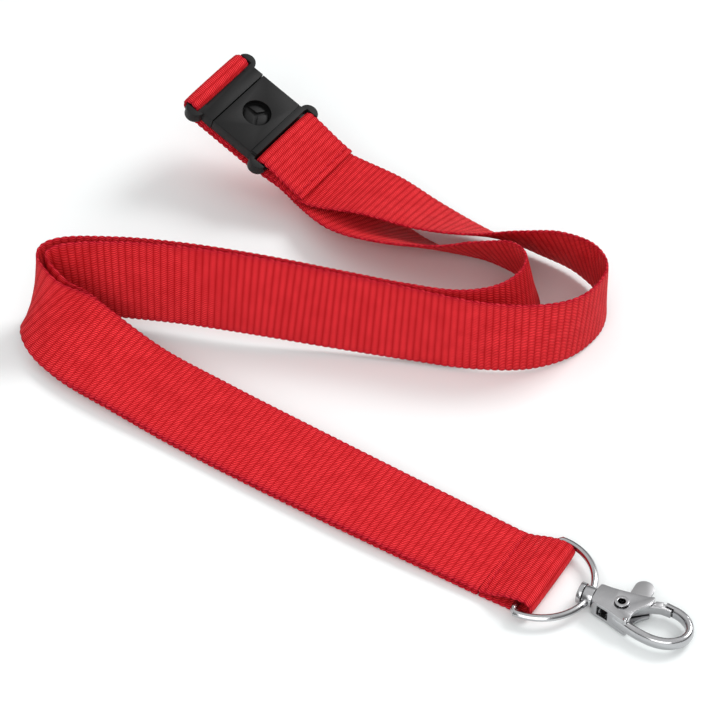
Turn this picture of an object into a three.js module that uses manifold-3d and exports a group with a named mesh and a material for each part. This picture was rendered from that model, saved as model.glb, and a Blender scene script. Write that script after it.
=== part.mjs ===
// Neck lanyard: a folded band of ribbed webbing with a breakaway buckle at one end and a
// swivel trigger hook on a D-ring at the other. Millimetres, +Z up, standing on Z = 0.
// The webbing is one strip: it leaves the socket half of the buckle, is folded round the
// D-ring's bar, and comes back to the plug half, so it lies in two layers nearly all the way.
import * as THREE from 'three';
import { mergeVertices } from 'three/addons/utils/BufferGeometryUtils.js';
import Module from 'manifold-3d';

const wasm = await Module();
wasm.setup();

// ---------------------------------------------------------------- driving dimensions
const clearance = 0.3; // gap kept between pieces that touch
const webWidth = 25;
const webThick = 1.2;
const threadThick = 0.4; // a sewn row, standing proud of the webbing
const threadWide = 1.2;

const ringWire = 2; // D-ring wire diameter
const ringInside = 27; // clear width between the ring's corners
const ringReach = 15.4; // bar axis to the middle of the collar
const ringCorner = 2.4;
const collarRadius = 2.7;
const collarLength = 2.6;

const shankRadius = 1;
const rivetHeadRadius = 2.9;
const rivetHeadThick = 1.3;
const rivetTailRadius = 1.7;
const rivetTailThick = 0.8;

const hookHeight = 5.2; // over the two cheeks
const cheekThick = 1;
const neckGap = 0.4; // collar face to hook neck
const neckWidth = 6.2;
const neckWall = 1;
const hookLength = 27.2; // neck face to the end of the bow
const bowWall = 2.3;
const bowThick = 3.4;
const pivotAlong = 7.3; // neck face to the trigger's pivot
const pivotRadius = 1.6;
const pivotRim = 0.3;
const pivotBore = 1.05;
const leverThick = 2.4;
const tabWidth = 5.2;
const tabThick = 1.1;
const tabReach = 11; // pivot to the end of the thumb tab
const gateWidth = 1.8;
const mouthStart = 13.4; // neck face to the ends of the mouth that the gate closes
const mouthEnd = 17.4;
const springThick = 0.35;

const buckleWidth = 24; // over the flat body
const buckleThick = 4.6;
const earRadius = 3; // the round lobes that carry each bar, outside the webbing
const earThick = 3.8;
const bodyLength = 16.9; // socket body, mouth to slot
const bodyWall = 0.7;
const lipWidth = 1.9; // the raised rim along the socket's slot
const lipRise = 0.3;
const barRadius = 1.15; // the moulded bars that the webbing is wrapped round
const slotWidth = 2.4;
const plugSlot = 2.1;
const windowRadius = 4.5;
const windowInset = 7.3; // mouth to the window's centre
const tongueWidth = 15.6;
const tongueThick = 1.5;
const tongueLength = 13;
const studRadius = 4;
const studSlot = 1.3;
const plugBand = 5.6; // plug body between its shoulder and its slot

// ---------------------------------------------------------------- where things lie
const ringSeat = { at: [46, -85.6, 3.1], heading: -28.5, climb: 0, roll: 0 };
const foldSeat = { at: [46.2, -85.4, 0], heading: -31, climb: 0, roll: 0 };
const buckleSeat = { at: [-31.7, 84.4, 22.2], heading: 145, climb: 22, roll: -8 };
const seamToBar = 10.8; // hook-end seam to the ring's bar
const foldReach = 5.2; // bar axis to the outside of the hook-end fold

// The socket strap's route from the hook-end seam: x, y, z of its middle line, then its lean,
// 0 lying flat with its face up, 90 standing on edge, 180 lying on its other face.
const sharedRoute = [
  [9, -62.3, 2, 4], [-18.5, -44, 2.6, 8], [-44, -26.3, 3, 10], [-65, -11, 4, 10],
  [-80.8, 0.8, 8, 34], [-88.8, 9.8, 13.6, 68], [-87, 17.2, 15.5, 88], [-70.5, 16.2, 16.4, 102],
  [-51, 13.2, 16.8, 105], [-30, 9, 16.4, 105], [-8, 5, 14.6, 102],
];
// Distance from the socket strap to the plug strap at the seam and at each station above.
const layerPitch = [1.7, 1.7, 1.7, 1.7, 1.8, 2.2, 3, 3.2, 2.9, 2.5, 2.1, 1.9];
const outerTurn = [
  [13.5, 0.4, 13.5, 98], [31.5, -3.8, 13.1, 93], [48, -4.7, 13.1, 89], [61.3, 0.2, 13, 85],
  [69.6, 11.4, 13.1, 89], [68.7, 22.7, 13.3, 102], [60.5, 32.2, 12.7, 115],
  [48.8, 38.6, 11.2, 128], [35.4, 44.2, 10, 144], [21, 50.9, 10.6, 159], [6.8, 58.6, 12.2, 172],
];
const innerTurn = [
  [13.5, 2.3, 13.5, 97], [28, 0.6, 13.2, 94], [39.5, 3, 13.2, 95], [47.3, 9.8, 13.4, 98],
  [49.4, 18.5, 13.4, 103], [45.8, 27, 13, 115], [35.5, 33.6, 11.4, 129], [22, 38.6, 9, 140],
  [9.5, 46, 7.4, 153], [-1.5, 56.2, 7, 170],
];

// ---------------------------------------------------------------- materials
const webbing = new THREE.MeshStandardMaterial({ color: 0xc8102a, roughness: 0.85 });
const thread = new THREE.MeshStandardMaterial({ color: 0xb01238, roughness: 0.8 });
const nickel = new THREE.MeshStandardMaterial({ color: 0xc9cacb, roughness: 0.22, metalness: 1 });
const satin = new THREE.MeshStandardMaterial({ color: 0xb4b5b6, roughness: 0.35, metalness: 1 });
const springSteel = new THREE.MeshStandardMaterial({ color: 0x9a9a98, roughness: 0.3, metalness: 1 });
const plastic = new THREE.MeshStandardMaterial({ color: 0x2e2e2f, roughness: 0.6 });

// ---------------------------------------------------------------- solids
function toSolid(geometry, matrix) {
  const plain = geometry.clone();
  plain.deleteAttribute('normal');
  plain.deleteAttribute('uv');
  if (matrix) plain.applyMatrix4(matrix);
  const merged = mergeVertices(plain, 1e-4);
  return new wasm.Manifold(new wasm.Mesh({
    numProp: 3,
    vertProperties: new Float32Array(merged.attributes.position.array),
    triVerts: new Uint32Array(merged.index.array),
  }));
}

function fromSolid(solid) {
  const mesh = solid.getMesh();
  const geometry = new THREE.BufferGeometry();
  geometry.setAttribute('position', new THREE.BufferAttribute(mesh.vertProperties, 3));
  geometry.setIndex(new THREE.BufferAttribute(mesh.triVerts, 1));
  geometry.computeVertexNormals();
  return geometry;
}

const shift = (x, y, z) => new THREE.Matrix4().makeTranslation(x, y, z);

function box(fromX, toX, fromY, toY, fromZ, toZ) {
  const geometry = new THREE.BoxGeometry(toX - fromX, toY - fromY, toZ - fromZ);
  return toSolid(geometry, shift((fromX + toX) / 2, (fromY + toY) / 2, (fromZ + toZ) / 2));
}

function slab(shape, fromZ, toZ, curveSegments = 12) {
  const geometry = new THREE.ExtrudeGeometry(shape, {
    depth: toZ - fromZ, bevelEnabled: false, curveSegments,
  });
  return toSolid(geometry, shift(0, 0, fromZ));
}

// A round bar along X, Y or Z, from one end to the other, round the given centre.
function rod(axis, radius, from, to, a, b, sides = 24) {
  const geometry = new THREE.CylinderGeometry(radius, radius, to - from, sides);
  const middle = (from + to) / 2;
  if (axis === 'x') geometry.rotateZ(-Math.PI / 2).translate(middle, a, b);
  if (axis === 'y') geometry.translate(a, middle, b);
  if (axis === 'z') geometry.rotateX(Math.PI / 2).translate(a, b, middle);
  return toSolid(geometry);
}

function disc(radius, fromZ, toZ, x, y, sides = 24) {
  return rod('z', radius, fromZ, toZ, x, y, sides);
}

function splineShape(points, steps = 48) {
  const loop = new THREE.CatmullRomCurve3(
    points.map(([x, y]) => new THREE.Vector3(x, y, 0)), true, 'centripetal',
  );
  const shape = new THREE.Shape();
  shape.setFromPoints(loop.getPoints(steps).slice(0, -1).map((p) => new THREE.Vector2(p.x, p.y)));
  return shape;
}

// The outline of a band of even thickness that follows a flat path.
function bandShape(path, thickness, steps) {
  const middle = path.getSpacedPoints(steps);
  const side = (p, i, way) => {
    const before = middle[Math.max(i - 1, 0)];
    const after = middle[Math.min(i + 1, middle.length - 1)];
    const along = after.clone().sub(before).normalize();
    return new THREE.Vector2(p.x - along.y * way, p.y + along.x * way);
  };
  const left = middle.map((p, i) => side(p, i, thickness / 2));
  const right = middle.map((p, i) => side(p, i, -thickness / 2)).reverse();
  return new THREE.Shape([...left, ...right]);
}

// A band of webbing drawn in X and Z and as wide as the webbing along Y.
function foldedBand(path, steps, width = webWidth, thickness = webThick) {
  const geometry = new THREE.ExtrudeGeometry(bandShape(path, thickness, steps), {
    depth: width, bevelEnabled: false,
  });
  geometry.translate(0, 0, -width / 2).rotateX(Math.PI / 2);
  return geometry;
}

// ---------------------------------------------------------------- placing
function seatGroup({ at, heading, climb, roll }) {
  const group = new THREE.Group();
  group.position.set(...at);
  group.rotation.set(
    THREE.MathUtils.degToRad(roll),
    THREE.MathUtils.degToRad(-climb),
    THREE.MathUtils.degToRad(heading),
    'ZYX',
  );
  return group;
}

const lanyard = new THREE.Group();
const foldEnd = seatGroup(foldSeat);
const ringEnd = seatGroup(ringSeat);
const buckleEnd = seatGroup(buckleSeat);
lanyard.add(foldEnd, ringEnd, buckleEnd);
lanyard.updateMatrixWorld(true);

function addPiece(parent, name, geometry, material) {
  const mesh = new THREE.Mesh(geometry, material);
  mesh.name = name;
  parent.add(mesh);
  return mesh;
}

// ---------------------------------------------------------------- strap routes
// A station is x, y, z and lean. A route is a smooth curve through its stations.
function makeRoute(stations) {
  const places = stations.map(([x, y, z]) => new THREE.Vector3(x, y, z));
  const leans = stations.map((s) => new THREE.Vector3(s[3], 0, 0));
  const line = new THREE.CatmullRomCurve3(places, false, 'catmullrom', 0.5);
  const lean = new THREE.CatmullRomCurve3(leans, false, 'catmullrom', 0.5);
  line.arcLengthDivisions = 400;
  return { line, lean, spans: stations.length - 1 };
}

// The strap's frame at a station number, whole or between two: its middle, its direction,
// the way across it from its lower to its upper edge, and the way out of its face.
function routeFrame(route, station) {
  const t = station / route.spans;
  const at = route.line.getPoint(t);
  const along = route.line.getTangent(t);
  const lean = THREE.MathUtils.degToRad(route.lean.getPoint(t).x);
  const level = new THREE.Vector3(along.y, -along.x, 0).normalize();
  const upright = new THREE.Vector3().crossVectors(level, along);
  const across = level.multiplyScalar(Math.cos(lean)).addScaledVector(upright, Math.sin(lean));
  const face = new THREE.Vector3().crossVectors(across, along);
  return { at, across, face };
}

// A station of the buckle's or the fold's own, in the lanyard's frame.
function stationFrom(group, x, z, lean) {
  const p = group.localToWorld(new THREE.Vector3(x, 0, z));
  return [p.x, p.y, p.z, lean];
}

// A length of strap between two stations, bent from a flat box.
function strapPiece(frameAt, fromStation, toStation, steps, trim) {
  const geometry = new THREE.BoxGeometry(1, webWidth, webThick, steps, 1, 1);
  const position = geometry.attributes.position;
  const vertex = new THREE.Vector3();
  for (let i = 0; i < position.count; i += 1) {
    vertex.fromBufferAttribute(position, i);
    const station = THREE.MathUtils.lerp(fromStation + trim, toStation - trim, vertex.x + 0.5);
    const { at, across, face } = frameAt(station);
    const p = at.addScaledVector(across, -vertex.y).addScaledVector(face, vertex.z);
    position.setXYZ(i, p.x, p.y, p.z);
  }
  return geometry;
}

// ---------------------------------------------------------------- webbing
const buckleLean = 180 - buckleSeat.roll;
const barAlong = bodyLength - windowInset + slotWidth + barRadius; // window centre to socket bar
const plugBarAlong = windowInset + plugBand + plugSlot + barRadius;
const wrapRadius = barRadius + clearance + webThick / 2;
const layerStep = webThick + clearance; // two layers that lie on each other
const pieceTrim = 0.02; // of a span, left open where two lengths of strap meet

const foldStart = stationFrom(foldEnd, -seamToBar, webThick / 2, 0);
const flapLength = 15.5;
const socketJoin = barAlong + 4.5; // where the socket strap meets its own fold
const plugJoin = -6; // where the plug strap meets the fold that moves with the plug
const underBuckle = buckleThick / 2 + layerStep + webThick / 2 + clearance;

const sharedStations = [foldStart, ...sharedRoute];
const sharedEnd = sharedStations.length - 1;
const socketStations = [
  ...sharedStations,
  ...outerTurn,
  stationFrom(buckleEnd, -barAlong - flapLength, -webThick, buckleLean),
  stationFrom(buckleEnd, -socketJoin, -wrapRadius * 0.7, buckleLean),
];
const socketRoute = makeRoute(socketStations);
const pitchLine = new THREE.CatmullRomCurve3(
  layerPitch.map((pitch, i) => new THREE.Vector3(i, pitch, 0)), false, 'catmullrom', 0.5,
);

// The plug strap's frame while it lies on the socket strap.
function layeredFrame(station) {
  const frame = routeFrame(socketRoute, station);
  const pitch = pitchLine.getPoint(Math.min(station / sharedEnd, 1)).y;
  frame.at.addScaledVector(frame.face, pitch);
  return frame;
}

const layeredStations = sharedStations.map((station, i) => {
  const { at } = layeredFrame(i);
  return [at.x, at.y, at.z, station[3]];
});
const plugRoute = makeRoute([
  ...layeredStations,
  ...innerTurn,
  stationFrom(buckleEnd, -barAlong - flapLength, -1.4 * webThick - layerStep, buckleLean),
  stationFrom(buckleEnd, -barAlong - 2, -wrapRadius - layerStep, buckleLean),
  stationFrom(buckleEnd, plugJoin, -underBuckle, buckleLean),
]);

// It leaves the socket strap over the last shared span and then follows its own route.
function plugFrame(station) {
  const own = routeFrame(plugRoute, station);
  if (station >= sharedEnd) return own;
  const shared = layeredFrame(station);
  const leave = THREE.MathUtils.smoothstep(station, sharedEnd - 1, sharedEnd);
  return {
    at: shared.at.lerp(own.at, leave),
    across: shared.across.lerp(own.across, leave).normalize(),
    face: shared.face.lerp(own.face, leave).normalize(),
  };
}

function addStrap(name, frameAt, cuts) {
  cuts.forEach(([part, from, to, stepsPerSpan]) => {
    const steps = Math.round((to - from) * stepsPerSpan);
    const geometry = strapPiece(frameAt, from, to, steps, pieceTrim);
    addPiece(lanyard, `${name}_${part}`, geometry, webbing);
  });
}

const turnStart = sharedEnd + 2;
addStrap('socket_strap', (station) => routeFrame(socketRoute, station), [
  ['lower', 0, 4, 4],
  ['bend', 4, 8, 6],
  ['middle', 8, turnStart, 4],
  ['turn', turnStart, turnStart + 6, 4],
  ['end', turnStart + 6, socketRoute.spans, 4],
]);
addStrap('plug_strap', plugFrame, [
  ['lower', 0, 4, 4],
  ['bend', 4, 8, 6],
  ['middle', 8, turnStart, 4],
  ['turn', turnStart, turnStart + 5, 4],
  ['end', turnStart + 5, plugRoute.spans, 4],
]);

// The fold at the D-ring: under layer, round the bar, and back as the upper layer.
function hookFold() {
  const low = webThick / 2;
  const high = low + layerPitch[0];
  const barZ = ringSeat.at[2];
  const over = barZ + ringWire / 2 + 2 * clearance + webThick / 2;
  const turn = (over - low) / 2;
  const nose = foldReach - webThick / 2 - turn;
  const path = new THREE.Path();
  path.moveTo(-seamToBar + clearance, low);
  path.lineTo(nose, low);
  path.absarc(nose, low + turn, turn, -Math.PI / 2, Math.PI / 2, false);
  path.bezierCurveTo(nose - 6, over, -seamToBar + 5, high, -seamToBar + clearance, high);
  return foldedBand(path, 40);
}

// A loop round a moulded bar at x = 0, its two tails running towards -X.
function barWrap(lowTail, highTail, lowEnd, highEnd) {
  const path = new THREE.Path();
  path.moveTo(-lowTail, lowEnd);
  path.bezierCurveTo(-lowTail + 2, lowEnd, -4, -wrapRadius, 0, -wrapRadius);
  path.absarc(0, 0, wrapRadius, -Math.PI / 2, Math.PI / 2, false);
  path.bezierCurveTo(-4, wrapRadius, -highTail + 7, highEnd, -highTail, highEnd);
  return path;
}

// A sewn row across the webbing, on both of its outer faces.
function seamRow(x, topZ, bottomZ) {
  const half = webWidth / 2 - 1;
  const proud = clearance + threadThick;
  const top = box(x - threadWide / 2, x + threadWide / 2, -half, half, topZ + clearance, topZ + proud);
  const low = bottomZ - proud;
  return { top: fromSolid(top), low, bottom: bottomZ - clearance };
}

addPiece(foldEnd, 'hook_fold', hookFold(), webbing);
const hookSeamTop = webThick / 2 + layerPitch[0] + webThick / 2;
addPiece(foldEnd, 'hook_seam', seamRow(-seamToBar + 1.6, hookSeamTop + 0.2, 0).top, thread);

const socketWrap = foldedBand(
  barWrap(socketJoin - barAlong - clearance, flapLength, -wrapRadius * 0.8, layerStep - webThick),
  44,
).translate(-barAlong, 0, 0);
addPiece(buckleEnd, 'socket_flap', socketWrap, webbing);
const socketSeamTop = layerStep - webThick / 2;
addPiece(
  buckleEnd, 'socket_seam', seamRow(-barAlong - flapLength + 2, socketSeamTop, 0).top, thread,
);

// ---------------------------------------------------------------- buckle
// The lobes past a body's end, open between them for the webbing, and the bar they carry.
function earsAndBar(bodyEnd, direction, barX) {
  const inner = webWidth / 2 + clearance;
  const lobeX = bodyEnd + direction * 1.3;
  const lobeY = inner + 2.1 - earRadius;
  const halfThick = earThick / 2;
  const lobe = disc(earRadius, -halfThick, halfThick, lobeX, lobeY, 32);
  const neckEnd = [bodyEnd - direction * 4, bodyEnd].sort((p, q) => p - q);
  const open = [bodyEnd, bodyEnd + direction * 9].sort((p, q) => p - q);
  const neck = box(neckEnd[0], neckEnd[1], buckleWidth / 2 - 3, buckleWidth / 2, -halfThick, halfThick);
  const one = lobe.add(neck);
  const slot = box(open[0], open[1], -inner, inner, -9, 9);
  const bar = rod('y', barRadius, -inner - 0.4, inner + 0.4, barX, 0);
  return one.add(one.mirror([0, 1, 0])).subtract(slot).add(bar);
}

function roundedBlock(fromX, toX, width, height, bevel) {
  const shape = new THREE.Shape([
    new THREE.Vector2(fromX + bevel, -width / 2 + bevel),
    new THREE.Vector2(toX - bevel, -width / 2 + bevel),
    new THREE.Vector2(toX - bevel, width / 2 - bevel),
    new THREE.Vector2(fromX + bevel, width / 2 - bevel),
  ]);
  const geometry = new THREE.ExtrudeGeometry(shape, {
    depth: height - 2 * bevel, bevelThickness: bevel, bevelSize: bevel, bevelSegments: 2,
  });
  return toSolid(geometry, shift(0, 0, -height / 2 + bevel));
}

const tongueGap = clearance;
const stopGap = 1; // tongue tip to the blind end of the pocket

function socketBody() {
  const mouth = windowInset;
  const back = windowInset - bodyLength;
  const top = buckleThick / 2;
  const pocketHalf = tongueWidth / 2 + tongueGap;
  const pocketTop = top - bodyWall;
  const pocketBack = mouth - tongueLength - stopGap;
  const body = roundedBlock(back, mouth, buckleWidth, buckleThick, 0.3);
  const lipHalf = buckleWidth / 2 - 0.5;
  const lip = box(back, back + lipWidth, -lipHalf, lipHalf, 0, top + lipRise);
  const pocket = box(pocketBack, mouth + 1, -pocketHalf, pocketHalf, -tongueThick, pocketTop);
  const eye = disc(windowRadius, 0, buckleThick, 0, 0, 48);
  const groove = box(
    back + lipWidth, back + lipWidth + 0.4, -buckleWidth, buckleWidth, top - 0.4, buckleThick,
  );
  return body.add(lip).subtract(pocket).subtract(eye).subtract(groove)
    .add(earsAndBar(back, -1, -barAlong));
}

// The snap stud: a low dome on the tongue, split into three lobes by a Y of slots.
function snapStud(topZ) {
  const points = [];
  const rise = 0.8;
  points.push(new THREE.Vector2(0, topZ - 1.6));
  points.push(new THREE.Vector2(studRadius, topZ - 1.6));
  for (let i = 0; i <= 6; i += 1) {
    const angle = (i / 6) * (Math.PI / 2);
    points.push(new THREE.Vector2(studRadius * Math.cos(angle), topZ - rise + rise * Math.sin(angle)));
  }
  const dome = toSolid(new THREE.LatheGeometry(points, 36).rotateX(Math.PI / 2));
  const slots = [0, 120, 240].map((degrees) => {
    const turn = new THREE.Matrix4().makeRotationZ(THREE.MathUtils.degToRad(degrees));
    const cut = new THREE.BoxGeometry(studRadius + 1, studSlot, 1.8);
    cut.translate((studRadius + 1) / 2, 0, 0);
    return toSolid(cut.applyMatrix4(turn), shift(0, 0, topZ));
  });
  return slots.reduce((solid, slot) => solid.subtract(slot), dome);
}

// The plug's band slopes down to its slot.
function plugBandBody(shoulder, slotStart) {
  const top = buckleThick / 2;
  const profile = new THREE.Shape([
    new THREE.Vector2(shoulder, -top), new THREE.Vector2(slotStart, -top + 0.5),
    new THREE.Vector2(slotStart, top - 0.7), new THREE.Vector2(slotStart - 2.2, top),
    new THREE.Vector2(shoulder, top),
  ]);
  const geometry = new THREE.ExtrudeGeometry(profile, { depth: buckleWidth, bevelEnabled: false });
  return toSolid(geometry.translate(0, 0, -buckleWidth / 2).rotateX(Math.PI / 2));
}

function plugBody() {
  const shoulder = windowInset + clearance;
  const slotStart = windowInset + plugBand;
  const floor = -tongueThick + tongueGap;
  const tongue = box(
    windowInset - tongueLength, shoulder + 1, -tongueWidth / 2, tongueWidth / 2,
    floor, floor + tongueThick,
  );
  return plugBandBody(shoulder, slotStart).add(tongue)
    .add(snapStud(buckleThick / 2 - bodyWall - tongueGap))
    .add(earsAndBar(slotStart, 1, plugBarAlong));
}

addPiece(buckleEnd, 'buckle_socket', fromSolid(socketBody()), plastic);
addPiece(buckleEnd, 'buckle_plug', fromSolid(plugBody()), plastic);

// The plug strap comes up round the plug's bar and down through its slot, and its end is
// sewn to it under the buckle.
function plugWrapPath() {
  const low = -underBuckle;
  const high = low + layerStep;
  const barX = plugBarAlong;
  const path = new THREE.Path();
  path.moveTo(plugJoin + clearance, low);
  path.lineTo(barX - 4, low);
  path.bezierCurveTo(barX - 1, low, barX + wrapRadius, -wrapRadius * 1.2, barX + wrapRadius, 0);
  path.absarc(barX, 0, wrapRadius, 0, Math.PI, false);
  path.bezierCurveTo(barX - wrapRadius, -3.2, barX - wrapRadius, high, barX - 5, high);
  path.lineTo(plugJoin + 5, high);
  return path;
}

addPiece(buckleEnd, 'plug_flap', foldedBand(plugWrapPath(), 60), webbing);
addPiece(
  buckleEnd, 'plug_seam',
  fromSolid(box(
    plugJoin + 6, plugJoin + 6 + threadWide, -webWidth / 2 + 1, webWidth / 2 - 1,
    -underBuckle - webThick / 2 - clearance - threadThick, -underBuckle - webThick / 2 - clearance,
  )),
  thread,
);

// ---------------------------------------------------------------- D-ring
// A wire bent to a D, butted in the middle of its bar, with a collar for the swivel.
function ringPath() {
  const half = ringInside / 2 + ringWire / 2;
  const straight = ringReach - half;
  const path = new THREE.CurvePath();
  const add = (curve) => path.curves.push(curve);
  const point = (x, y) => new THREE.Vector3(x, y, 0);
  add(new THREE.LineCurve3(point(0, clearance / 2), point(0, half - ringCorner)));
  add(new THREE.QuadraticBezierCurve3(point(0, half - ringCorner), point(0, half), point(straight, half)));
  for (let i = 0; i < 8; i += 1) {
    const from = Math.PI / 2 - (i / 8) * Math.PI;
    const to = Math.PI / 2 - ((i + 1) / 8) * Math.PI;
    const mid = (from + to) / 2;
    const bulge = half / Math.cos((from - to) / 2);
    add(new THREE.QuadraticBezierCurve3(
      point(straight + half * Math.cos(from), half * Math.sin(from)),
      point(straight + bulge * Math.cos(mid), bulge * Math.sin(mid)),
      point(straight + half * Math.cos(to), half * Math.sin(to)),
    ));
  }
  add(new THREE.QuadraticBezierCurve3(
    point(straight, -half), point(0, -half), point(0, ringCorner - half),
  ));
  add(new THREE.LineCurve3(point(0, ringCorner - half), point(0, -clearance / 2)));
  return path;
}

function ringBody() {
  const section = new THREE.Shape();
  section.absarc(0, 0, ringWire / 2, 0, Math.PI * 2, false);
  const wire = toSolid(new THREE.ExtrudeGeometry(section, {
    extrudePath: ringPath(), steps: 72, curveSegments: 5, bevelEnabled: false,
  }));
  const half = collarLength / 2;
  const collar = rod('x', collarRadius, ringReach - half, ringReach + half, 0, 0, 20);
  const bore = rod('x', shankRadius + clearance, ringReach - 4, ringReach + 4, 0, 0, 20);
  return wire.add(collar).subtract(bore);
}

addPiece(ringEnd, 'd_ring', fromSolid(ringBody()), nickel);

// ---------------------------------------------------------------- hook
// Drawn from the neck's face, along the swivel's axis; far side +Y, gate side -Y.
const neckFace = ringReach + collarLength / 2 + neckGap;
const hookEnd = new THREE.Group();
hookEnd.position.set(neckFace, 0, 0);
ringEnd.add(hookEnd);

const half = hookHeight / 2;
const slotHalf = half - cheekThick;
const bowEnd = hookLength;
const pivotY = -0.3;

// The cheeks' outline, neck first; their edge over the opening is hollow.
const cheekOutline = splineShape([
  [0, neckWidth / 2 - 0.4], [0, -neckWidth / 2 + 0.4], [0.3, -neckWidth / 2],
  [5, -neckWidth / 2 - 1.2], [9.6, -5.7], [11, -5.9], [11.3, -4.6], [11.3, -2.4],
  [12.4, 0.2], [14.2, 2.2], [mouthStart + 0.6, 3], [mouthStart + 0.8, 5.3],
  [12.6, 4.8], [7.7, 3.9], [3, 3.3], [0.3, neckWidth / 2],
], 80);
const bowLine = new THREE.CatmullRomCurve3([
  [7, -4], [11, -5.2], [15, -6.1], [19.4, -6.3], [23, -5.2], [bowEnd - bowWall / 2 - 0.4, -2.6],
  [bowEnd - bowWall / 2, 0.4], [24.4, 3.3], [21.6, 4.9], [mouthEnd, 5.5],
].map(([x, y]) => new THREE.Vector3(x, y, 0)), false, 'centripetal');

function polygon(points) {
  return new THREE.Shape(points.map(([x, y]) => new THREE.Vector2(x, y)));
}

// The bow's section: flat sides with round edges, as high as bowThick.
function bowSection() {
  const shape = new THREE.Shape();
  const points = [];
  for (let i = 0; i < 20; i += 1) {
    const angle = (i / 20) * Math.PI * 2;
    const c = Math.cos(angle);
    const d = Math.sin(angle);
    points.push(new THREE.Vector2(
      Math.sign(c) * Math.abs(c) ** 0.75 * (bowThick / 2),
      Math.sign(d) * Math.abs(d) ** 0.75 * (bowWall / 2),
    ));
  }
  shape.setFromPoints(points);
  return shape;
}

function bowBar() {
  return toSolid(new THREE.ExtrudeGeometry(bowSection(), {
    extrudePath: bowLine, steps: 44, bevelEnabled: false,
  }));
}

// Two cheeks that are one folded sheet: the fold runs down the near side into the bow, and
// the far side is open for the trigger.
function hookFrame() {
  const inner = neckWidth / 2 - neckWall;
  const nearWall = inner + 1.3;
  const room = slab(polygon([
    [neckWall, -inner], [neckWall, inner], [3.2, inner], [3.4, 9], [mouthStart + 3, 9],
    [mouthStart + 3, 1.5], [13, -4], [10, -4.5], [5, -nearWall],
  ]), -slotHalf, slotHalf);
  const nest = slab(polygon([
    [mouthEnd - 1, 3.6], [mouthEnd + 2.4, 3.3], [mouthEnd + 2.4, 5.3], [mouthEnd - 1, 5.7],
  ]), -slotHalf, slotHalf);
  const corner = toSolid(new THREE.SphereGeometry(0.75, 14, 10), shift(10.5, -5.2, half - 0.35));
  const cheeks = slab(cheekOutline, -half, half).subtract(room);
  const sideWindow = box(1.8, 5.2, -neckWidth, -1, -slotHalf, slotHalf);
  const shaft = rod('x', shankRadius + clearance, -1, neckWall + 1, 0, 0, 20);
  const bore = disc(pivotRadius + clearance, -half - 1, half + 1, pivotAlong, pivotY);
  return cheeks.add(corner).add(bowBar().subtract(room).subtract(nest))
    .subtract(sideWindow).subtract(shaft).subtract(bore);
}

function swivelRivet() {
  const headFace = -neckGap - collarLength - clearance;
  const tailStart = neckWall + clearance;
  const head = rod('x', rivetHeadRadius, headFace - rivetHeadThick, headFace, 0, 0, 24);
  const shank = rod('x', shankRadius, headFace - 0.2, tailStart + 0.2, 0, 0, 16);
  const tailRadius = Math.min(rivetTailRadius, slotHalf - clearance);
  const tail = rod('x', tailRadius, tailStart, tailStart + rivetTailThick, 0, 0, 16);
  return head.add(shank).add(tail);
}

function pivotRivet() {
  const face = half + clearance;
  const body = disc(pivotRadius, -half, face + 0.2, pivotAlong, pivotY, 24);
  const rim = disc(pivotRadius + pivotRim, face, face + 0.3, pivotAlong, pivotY, 24);
  const bore = disc(pivotBore, -half - 1, half + 2, pivotAlong, pivotY, 20);
  return body.add(rim).subtract(bore);
}

const leverHalf = leverThick / 2;

// The gate's arm lies in the far wall, its tip nested behind the nose; the thumb tab stands
// out at the same side. The arm is as high as the bow where it fills the mouth.
function triggerLever() {
  const hubRadius = pivotRadius + clearance + 0.9;
  const hub = disc(hubRadius, -leverHalf, leverHalf, pivotAlong, pivotY, 24);
  const tabX = pivotAlong + 0.1;
  const tabTop = pivotY + tabReach;
  const tabShape = new THREE.Shape();
  tabShape.moveTo(tabX, pivotY + 0.6);
  tabShape.lineTo(tabX, tabTop - tabWidth / 2);
  tabShape.absarc(tabX + tabWidth / 2, tabTop - tabWidth / 2, tabWidth / 2, Math.PI, 0, true);
  tabShape.lineTo(tabX + tabWidth, 2.6);
  tabShape.lineTo(tabX + 1.6, pivotY + 0.4);
  const tab = slab(tabShape, leverHalf - tabThick, leverHalf, 8);
  const tip = mouthEnd + 1.9;
  const arm = slab(polygon([
    [pivotAlong - 1, pivotY + 1.8], [pivotAlong + 1.4, pivotY - 1.4], [11.8, 0.9],
    [14.2, 2.9], [mouthEnd - 0.6, 3.9], [tip, 3.9], [tip, 3.9 + gateWidth - 0.8],
    [mouthEnd - 0.6, 3.9 + gateWidth], [13.4, 4.6], [10.4, 3.6],
  ]), -leverHalf, leverHalf);
  const capStart = mouthStart + 1.2;
  const capEnd = mouthEnd - 3 * clearance; // its corner swings outward first
  const cap = slab(polygon([
    [capStart, 3.7], [capEnd, 4.2], [capEnd, 3.8 + gateWidth + 0.4], [capStart, 3.5 + gateWidth],
  ]), 0.3 - bowThick / 2, bowThick / 2 - 0.3);
  const bore = disc(pivotRadius + clearance, -4, 4, pivotAlong, pivotY);
  return hub.add(arm).add(tab).add(cap).subtract(bore);
}

// A bowed leaf between the rivet's tail and the trigger's hub, standing across the neck.
function leverSpring() {
  const reach = neckWidth / 2 - neckWall - clearance;
  const start = neckWall + clearance + rivetTailThick + 2 * clearance;
  const path = new THREE.CatmullRomCurve3([
    new THREE.Vector3(start, -reach, 0),
    new THREE.Vector3(start + 0.9, 0, 0),
    new THREE.Vector3(start, reach, 0),
  ]);
  const middle = new THREE.Path(path.getPoints(12).map((p) => new THREE.Vector2(p.x, p.y)));
  return slab(bandShape(middle, springThick, 12), clearance - leverHalf, leverHalf - clearance);
}

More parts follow.
